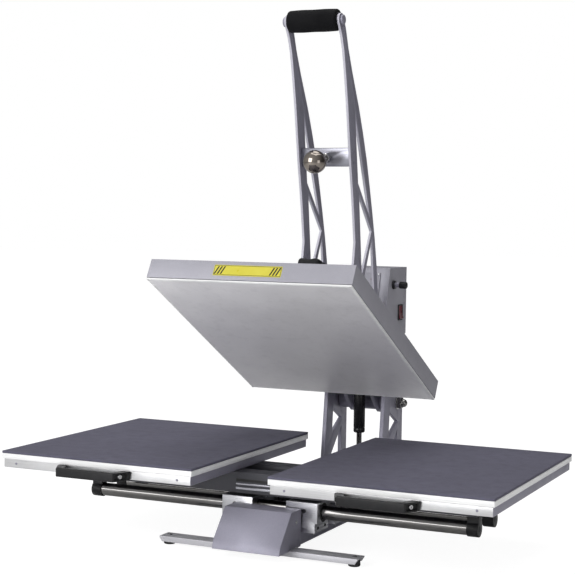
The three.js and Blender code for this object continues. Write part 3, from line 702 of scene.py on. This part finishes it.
# ---- foam ----
def foam_pad(side, sign):
    """Thin foam sheet lying on the platen. From the middle of the underside the rows run out to a
    rounded edge, which gives a little at mid height, and back over a top that is crowned by
    0.34 mm * (1 - s^2) with a slow ripple of 0.06 mm * sin(x / 20) * sin(y / 35)."""
    bottom = PAD_TOP - PAD_THICK
    under = [(0.8, bottom, s) for s in np.linspace(0, 1, 9)]
    edge = [(0.3, bottom + 0.35), (0.05, bottom + 1.0), (0.3, bottom + 2.2),
            (0.05, bottom + 3.2), (0.35, bottom + 3.75), (0.9, PAD_TOP - 0.4)]
    top = [(1.2, PAD_TOP - 0.36 + 0.34 * (1 - s * s), s) for s in np.linspace(1, 0, 40)]
    line, out = round_rectangle(*PAD_HALF, 2.0, 5, 26)
    rows = np.asarray([(*r, 1.0) if len(r) == 2 else r for r in under + edge + top], float)
    flat = (line[None] - rows[:, :1, None] * out[None]) * rows[:, 2:, None]
    ripple = 0.06
    wave = ripple * np.sin(flat[..., 0] / 20) * np.sin(flat[..., 1] / 35)
    upper = (np.arange(len(rows)) > len(under) + len(edge)) & (rows[:, 2] < 0.97)
    height = rows[:, 1:2] + (wave - ripple) * upper[:, None]
    grid = np.concatenate([flat + [sign * STATION, 0], height[..., None]], -1)
    pad = ring_piece(f"{side}_foam_pad_sheet", grid, MACHINE, "carriage", "pad_foam", sharp=60)
    return stands_for(pad, f"{side}_foam_pad")


def grip_sleeve():
    """Foam tube. At x from -1 to 1 along it the radius is 20.95 + 0.3 * (1 - x^4) - 0.2 *
    cos(2 pi x): a hand-worn waist in the middle, a swelling on either side, and rounded ends."""
    half = ARM_OUTSIDE - 5.7
    x = np.linspace(-1, 1, 61)
    outer = 20.95 + 0.3 * (1 - x ** 4) - 0.2 * np.cos(2 * math.pi * x)
    end = [(7.6, 0.0), (14.5, 0.0), (18.0, 0.6), (20.0, 2.0)]
    rows = [(r, -half + h) for r, h in end]
    rows += list(zip(outer, x * (half - 4.0)))
    rows += [(r, half - h) for r, h in end[::-1]]
    sleeve = turned("foam_grip_sleeve", rows, facing(MACHINE, GRIP_SPOT, RIGHTWARD), "handle",
                    "grip_foam", around=72, closed=True, sharp=60)
    return stands_for(sleeve, "foam_grip")


for side, sign in SIDES:
    foam_pad(side, sign)
grip_sleeve()


# ---- rails, seals and feet ----
RAIL_END = [(0, RAIL_HALF), (RAIL_RADIUS - 0.8, RAIL_HALF), (RAIL_RADIUS, RAIL_HALF - 0.8)]
SEAL_LIP = [(12.75, 95.6), (17.6, 95.6), (17.6, 96.05), (17.3, 96.22), (13.2, 96.22), (12.75, 96.0)]
FOOT_PAD = [(0, 0), (9.2, 0), (10.6, 1.0), (11, 2.4), (10.4, 12), (8.2, 14), (0, 14)]

for name, y in RAILS:
    rail = turned(f"{name}_rail_ground_bar", both_ends(RAIL_END), on_side(1, 0, y, RAIL_Z),
                  "carriage", "polished_steel", around=64)
    stands_for(rail, f"{name}_rail")
    for side, sign in SIDES:
        turned(f"{name}_{side}_rail_seal", SEAL_LIP, on_side(sign, 0, y, RAIL_Z),
               "base", "black_rubber", closed=True)
for name, y in FOOT_BARS:
    for side, sign in SIDES:
        foot = turned(f"{name}_{side}_rubber_foot", FOOT_PAD, MACHINE @ shift(sign * FOOT_X, y, 0),
                      "base", "black_rubber", ease=0.6)
        stands_for(foot, f"{name}_{side}_foot")


# ---- fasteners ----
def socket_screw(name, place, body, radius, height, material=BLACK_OXIDE):
    """Cap screw: domed rim, hexagonal socket 60 % deep with a flat bottom."""
    key = radius * 0.5
    rows = [(0, -0.6), (radius, -0.6), (radius, height * 0.8), (radius * 0.9, height),
            (key * 1.12, height), (key, height * 0.94, 1), (key, height * 0.4, 1),
            (0, height * 0.4)]
    return turned(name, rows, place, body, "polished_steel", around=36, material=material,
                  sharp=28)


def pan_screw(name, place, body, radius, material=ZINC):
    """Low domed head: height falls off with the square of the radius, with a hex key socket."""
    key = radius * 0.4
    dome = [(radius * v, 0.4 + radius * 0.42 * (1 - v * v)) for v in np.linspace(1, 0.5, 5)]
    rows = [(0, -0.5), (radius, -0.5), (radius, 0.2), *dome, (key, radius * 0.36, 1),
            (key, 0.4, 1), (0, 0.4)]
    return turned(name, rows, place, body, "polished_steel", around=36, material=material,
                  sharp=28)


def hex_nut(name, place, body, apothem, height, bore):
    """Hexagon with both faces chamfered to a circle, and a chamfered bore right through."""
    rows = [(apothem * 0.97, 0), (apothem, 0.5, 1), (apothem, height - 0.5, 1),
            (apothem * 0.97, height), (bore + 0.5, height), (bore, height - 0.5), (bore, 0.5),
            (bore + 0.5, 0)]
    return turned(name, rows, place, body, "polished_steel", closed=True, material=ZINC, sharp=28)


def thread(name, place, body, radius, depth, pitch, start, end, material=None):
    """Threaded rod: at height h and angle t the radius is radius - depth * |2 saw - 1|, where saw
    is the fraction of h / pitch - t / 2 pi, run out to the plain radius over one pitch at each
    end."""
    steps = int((end - start) / pitch * 6)
    h = np.linspace(start, end, steps)[:, None]
    t = np.linspace(0, 2 * math.pi, 32, endpoint=False)[None]
    saw = np.abs(2 * np.mod(h / pitch - t / (2 * math.pi), 1) - 1)
    fade = np.clip(np.minimum(h - start, end - h) / pitch, 0, 1)
    r = radius - depth * saw * fade
    grid = np.stack([r * np.cos(t), r * np.sin(t), np.broadcast_to(h, r.shape)], -1)
    return ring_piece(name, grid, place, body, "polished_steel", material=material, sharp=60)


CHASSIS_BOLTS = ((-29, 27), (14, 26), (72, 25), (330, 30), (400, 30))
POST_SCREWS = ((312, 62), (408, 62), (345, 352), (406, 352))
for side, sign in SIDES:
    for name, y in FOOT_BARS:
        pan_screw(f"{name}_{side}_foot_bar_screw", MACHINE @ shift(sign * FOOT_X, y, 16.5),
                  "base", 4.6)
    for number, (y, z) in enumerate(CHASSIS_BOLTS):
        pan_screw(f"{side}_chassis_bolt_{number + 1}", on_side(sign, 64.5, y, z), "base", 4.2)
    for name, y in RAILS:
        socket_screw(f"{name}_{side}_rail_end_screw", on_side(sign, RAIL_HALF + 3, y, RAIL_Z),
                     "carriage", 5.2, 0.9)
        clamp = facing(MACHINE, (sign * 70, y - 30, 79), (0, -1, 0))
        socket_screw(f"{name}_{side}_block_clamp_screw", clamp, "base", 4.0, 1.6)
        for ending, offset in (("", -16), ("_rear", 16)):
            pan_screw(f"{name}_{side}_block_foot_screw{ending}",
                      on_side(sign, 92, y + offset, 47.6), "base", 3.0, BLACK_OXIDE)
    for y, z in POST_SCREWS:
        pan_screw(f"{side}_post_screw_{y}_{z}", on_side(sign, 67.5, y, z), "base", 3.6)
    pan_screw(f"{side}_front_cover_screw", on_side(sign, 66.5, -112, 62), "base", 3.2)


# ---- pull handles ----
GRIP_SLANT = (0.886, -0.463)
for side, sign in SIDES:
    for hand, lean in SIDES:
        across, back = GRIP_SLANT
        pocket = (sign * STATION + lean * (67.5 - 4.5 * across), -267.65 - 4.5 * back, 144)
        socket_screw(f"{side}_pull_handle_{hand}_screw",
                     facing(MACHINE, pocket, (lean * across, back, 0)), "carriage", 3.9, 2.8, ZINC)


# ---- tray detail ----
for side, sign in SIDES:
    for number, x in enumerate((-170, -57, 57, 170)):
        for face, out in (("front", -1), ("rear", 1)):
            rivet_place = facing(MACHINE, (sign * STATION + x, out * 247, 145), (0, out, 0))
            pan_screw(f"{side}_tray_{face}_rivet_{number + 1}", rivet_place, "carriage", 2.2,
                      SILVER)


# ---- ribs on the front beam, in the gap between the trays, as painted light: the upper black strip is painted shade, the two lighter metal strips painted highlights ----
# Painted light: a black strip as shade in a gap, and lighter metal strips as highlights.
for name, z, half, proud, metal in (
        ("upper", 121.5, 2.6, 0.4, STRIPE),
        ("middle", 114.5, 1.8, 1.2, BEAM_HIGHLIGHT_RIB),
        ("lower", 106.5, 2.4, 1.5, BEAM_HIGHLIGHT_RIB)):
    crown = [(0, -0.3), (0, proud - 0.6), (0.3, proud - 0.2), (0.9, proud)]
    slab_piece(f"front_beam_{name}_rib", (73, half), 1.2, crown,
               facing(MACHINE, (0, -78, z), (0, -1, 0)), "carriage", "dark_steel", material=metal)


# ---- turned shafts ----
AXLE = facing(MACHINE, HINGE, RIGHTWARD)
axle = turned("head_axle_shaft", [
    (0, -77), (6, -76.8), (10, -75.6), (12, -73), (12, -67.8), (8, -67.8), (8, 67.8), (0, 67.8)],
    AXLE, "base", "polished_steel", ease=0.5, around=56)
stands_for(axle, "head_axle")
turned("head_axle_washer", [(8.3, 67.8), (13.8, 67.8), (14, 68.4), (13.8, 69.8), (8.3, 69.8)],
       AXLE, "base", "polished_steel", closed=True, material=ZINC)
turned("head_axle_dome_nut", [
    (0, 69.8), (10.4, 69.8), (10.6, 70.4, 1), (10.6, 78.6, 1), (10.2, 79.4), (8.9, 79.8),
    (8.7, 82), (8.0, 84.8), (6.4, 87.4), (4.0, 89.1), (1.6, 89.9), (0, 90)],
    AXLE, "base", "polished_steel", around=60, sharp=28)
toggle_pin = turned("toggle_shaft_pin", both_ends([
    (0, 74), (8, 73.8), (11, 72.6), (12, 71), (12, 67.8), (8, 67.8)]),
    facing(MACHINE, (0, 352, 330), RIGHTWARD), "base", "polished_steel", ease=0.5, around=56)
stands_for(toggle_pin, "toggle_shaft")
arm_pin = turned("arm_shaft_pin", both_ends([
    (0, 66), (9, 65.6), (13, 64.6), (14, 62.6), (14, 57.3), (10, 57.3)]),
    facing(MACHINE, HANDLE_PIVOT, RIGHTWARD), "bridge", "polished_steel", ease=0.6, around=56)
stands_for(arm_pin, "arm_shaft")
grip_bar = turned("grip_rod_bar", both_ends([
    (0, 63), (5, 62.9), (8.2, 62.2), (9.4, 61.2), (9.6, 58.4), (9.0, 57.3), (7, 57.3)]),
    facing(MACHINE, GRIP_SPOT, RIGHTWARD), "handle", "polished_steel", material=SILVER)
stands_for(grip_bar, "grip_rod")
for side, sign in SIDES:
    socket_screw(f"{side}_crank_pin_screw", on_side(sign, ARM_OUTSIDE, *LINK_PIN[1:]), "handle",
                 7.0, 1.2, ZINC)
    retainer = [(7.05, 0), (10.5, 0), (10.5, 1.0), (7.05, 1.0)]
    inward = facing(MACHINE, (sign * 37.9, *LINK_PIN[1:]), (-sign, 0, 0))
    turned(f"{side}_crank_pin_clip", retainer, inward, "handle", "polished_steel", closed=True,
           material=ZINC)


# ---- ball lever ----
BALL_RADIUS, STEM_FACE = 22.5, 54.7
latitude = np.linspace(-math.pi / 2, math.radians(74), 34)
ball_rows = [(BALL_RADIUS * math.cos(a), BALL_RADIUS * math.sin(a)) for a in latitude]
ball_rows[0] = (0.0, -BALL_RADIUS)
ball_rows += [(6, 22.2), (6, STEM_FACE), (5, STEM_FACE), (5, STEM_FACE + 11.4),
              (4.2, STEM_FACE + 12), (0, STEM_FACE + 12)]
LEVER = CROSS @ shift(0, -55, 0) @ about_x(-math.pi / 2)
lever = turned("ball_lever_polished", ball_rows, LEVER, "handle", "polished_steel", around=72,
               material=DARKENED_CHROME)
stands_for(lever, "ball_lever")
hex_nut("ball_lever_lock_nut", LEVER @ shift(0, 0, STEM_FACE - 10), "handle", 9.6, 9.7, 6.05)
thread("ball_lever_stem_thread", LEVER, "handle", 6.6, 0.7, 1.5, 24, STEM_FACE - 10.2)
hex_nut("ball_lever_back_nut", LEVER @ shift(0, 0, STEM_FACE + 6.4), "handle", 8.0, 4.8, 5.05)
for side, sign in SIDES:
    for level, z in (("lower", -10), ("upper", 10)):
        spot = facing(CROSS @ shift(0, 3, z), (sign * ARM_OUTSIDE, 0, 0), (sign, 0, 0))
        socket_screw(f"{side}_cross_plate_screw_{level}", spot, "handle", 3.2, 1.0, SILVER)


# ---- pressure screw and knob ----
PRESSURE = HEAD @ shift(0, PLATEN_Y, 0)
KNOB_FOOT = 316
screw = thread("pressure_screw_thread", PRESSURE, "screw", 10, 1.0, 2.5, 232.6, KNOB_FOOT)
stands_for(screw, "pressure_screw")
knob_rows = [
    (0, KNOB_FOOT), (20, KNOB_FOOT), (31.6, 316.2), (33.2, 317.4), (33.7, 320), (33.7, 336),
    (33.2, 339), (31.4, 340.9), (28, 341.5), (19, 341.4), (17.4, 340.6), (16.6, 338.6),
    (15.6, 337.8), (0, 337.6)]
knob = turned("pressure_knob_star", knob_rows, PRESSURE, "screw", "black_plastic", around=120,
              lobes=6, lobe=3.7)
stands_for(knob, "pressure_knob")
turned("pressure_knob_hub", [(10.3, 304), (15.6, 304), (17, 305.4), (17, 317), (10.3, 317)],
       PRESSURE, "screw", "black_plastic", closed=True)
turned("pressure_knob_insert", [
    (0, 337.4), (9, 337.4), (9, 338.6), (8.4, 339), (4, 339), (4, 338.2), (0, 338.2)],
    PRESSURE, "screw", "polished_steel", around=40, material=ZINC)
hex_nut("pressure_screw_lock_nut", PRESSURE @ shift(0, 0, 300.4), "screw", 15, 3.4, 10.15)
for side, sign in SIDES:
    for end, y in (("front", -55), ("rear", 55)):
        socket_screw(f"pressure_boss_screw_{side}_{end}", PRESSURE @ shift(sign * 55, y, 227.8),
                     "head", 5.0, 5.0)


# ---- gas spring ----
TUBE_FOOT, TUBE_TOP = 92.0, SPRING_LENGTH - 13.0
tube_rows = [
    (0, 163), (5.85, 163), (5.85, TUBE_FOOT), (9.6, TUBE_FOOT), (11.2, 92.8), (12.0, 94.6),
    (12.0, 100), (11.6, 100.8), (11.6, 102.2), (12.0, 103), (12.0, TUBE_TOP - 9),
    (11.4, TUBE_TOP - 5), (9.2, TUBE_TOP - 2.4), (6.0, TUBE_TOP - 1.2), (0, TUBE_TOP - 1.2)]
cylinder = turned("gas_spring_cylinder", tube_rows, SPRING, "spring_tube", "spring_black",
                  around=56)
stands_for(cylinder, "gas_spring_tube")
turned("gas_spring_upper_neck", [
    (0, TUBE_TOP - 3), (6, TUBE_TOP - 3), (6, TUBE_TOP + 4.6), (0, TUBE_TOP + 4.6)],
    SPRING, "spring_tube", "spring_black", around=32)
turned("gas_spring_upper_eye", both_ends([(7.05, 8), (12.2, 8), (13, 7.2)]),
       facing(SPRING, (0, 0, SPRING_LENGTH), RIGHTWARD), "spring_tube", "spring_black", closed=True)
rod = turned("gas_spring_piston_rod", [
    (0, 8), (7, 8), (7, 14), (5.5, 15), (5.5, 127.2), (4.8, 128), (0, 128)],
    SPRING, "spring_rod", "polished_steel", around=40)
stands_for(rod, "gas_spring_rod")
turned("gas_spring_lower_eye", both_ends([(5.05, 7), (8.3, 7), (9, 6.3)]),
       facing(SPRING, (0, 0, 0), RIGHTWARD), "spring_rod", "polished_steel", closed=True,
       material=ZINC)


# ---- head front plate ----
FRONT_FACE = facing(HEAD, (-2, -254.5, 201.2), (0, -1, 0))
slab_piece("caution_plate", (66.5, 10.6), 1.6, [(0, -0.2), (0, 0.25), (0.25, 0.45)], FRONT_FACE,
           "head", "light_paint", material=YELLOW)
slab_piece("caution_plate_border", (65.3, 9.4), 1.0, [(0, 0.4), (0, 0.6), (0.7, 0.6), (0.7, 0.4)],
           FRONT_FACE, "head", "black_plastic", closed=True, material=STRIPE)
STRIPE_HALF, STRIPE_LEAN, STRIPE_RISE = 1.4, 3.2, 7.6
for number, x in enumerate((-60, -54, -48, 48, 54, 60)):
    left, right = x - STRIPE_HALF, x + STRIPE_HALF
    outline = np.array([
        [left - STRIPE_LEAN, -STRIPE_RISE], [right - STRIPE_LEAN, -STRIPE_RISE],
        [right + STRIPE_LEAN, STRIPE_RISE], [left + STRIPE_LEAN, STRIPE_RISE]])
    grid = np.stack([np.c_[outline, np.full(4, height)] for height in (0.4, 0.62)])
    ring_piece(f"caution_plate_stripe_{number + 1}", grid, FRONT_FACE, "head", "black_plastic",
               material=STRIPE)


# ---- control box ----
DISPLAY_CENTRE = (-27.5, 4)
slab_piece("display_window", (15.5, 11.5), 1.5, [(0, 2.4), (0, 3.1), (0.4, 3.4)], PANEL, "base",
           "black_plastic", centre=DISPLAY_CENTRE, material=DARK_GLASS)
slab_piece("display_bezel", (17.5, 13.5), 2.2, [
    (0, 2.6), (0, 3.6), (0.6, 4.0), (1.7, 4.0), (2.0, 3.5), (2.0, 2.6)],
    PANEL, "base", "black_plastic", centre=DISPLAY_CENTRE, closed=True)
for number, (x, y) in enumerate(((-46.5, -22.5), (46.5, -22.5), (-46.5, 22.5), (46.5, 22.5))):
    pan_screw(f"control_panel_screw_{number + 1}", PANEL @ shift(x, y, 2.8), "base", 2.0)
BUTTON = [(0, -3), (4.9, -3), (4.95, 3.4), (4.5, 4.2), (3.8, 4.35), (2.4, 4.05), (0, 3.95)]
LAMP = [(0, 2.6), (1.4, 2.6), (1.3, 3.4), (0.8, 3.9), (0, 4.0)]
for name, x in (("set", -4), ("up", 14), ("down", 32)):
    key = turned(f"{name}_button_cap", BUTTON, PANEL @ shift(x, -6, 0), f"{name}_key",
                 "button_grey", around=40)
    stands_for(key, f"{name}_button")
    turned(f"{name}_pilot_lamp", LAMP, PANEL @ shift(x, 12, 0), "base", "red_plastic", around=24)

slab_piece("rocker_bezel", (13.0, 16.4), 2.0, [
    (0, -0.4), (0, 1.4), (0.5, 1.9), (2.3, 1.9), (2.6, 1.3), (2.6, -0.4)],
    on_side(1, 70, 389, 412), "base", "black_plastic", closed=True)
FUSE = on_side(1, 0, 347, 471)
turned("fuse_flange_nut", [
    (5.3, 70), (9.0, 70), (9.0, 71.6), (8.4, 72.2, 1), (8.4, 74.6, 1), (8.0, 75), (5.3, 75)],
    FUSE, "base", "polished_steel", closed=True, material=BLACK_OXIDE, sharp=28)
neck = thread("fuse_holder_neck", FUSE, "base", 5.0, 0.45, 1.6, 62, 84, SILVER)
stands_for(neck, "fuse_holder")
fuse_cap = turned("fuse_cap_knurled", [
    (0, 84.3), (6.4, 84.3), (6.9, 85), (6.9, 97.5), (6.3, 99.2), (4.6, 100), (0, 100)],
    FUSE, "fuse_top", "black_plastic", around=96, lobes=16, lobe=0.28)
stands_for(fuse_cap, "fuse_cap")

BOX_BACK = 425
INLET = facing(MACHINE, (0, BOX_BACK, 400), (0, 1, 0))
for number, pin_centre in enumerate(((-7, -2.0), (0, 2.4), (7, -2.0))):
    slab_piece(f"inlet_pin_{number + 1}", (1.9, 0.9), 0.6, [(0, -14.5), (0, -1.4), (0.5, -0.6)],
               INLET, "base", "polished_steel", centre=pin_centre, per_side=2)
for side, sign in SIDES:
    for z in (374, 498):
        pan_screw(f"box_back_screw_{side}_{z}",
                  facing(MACHINE, (sign * 61, BOX_BACK, z), (0, 1, 0)), "base", 2.6)
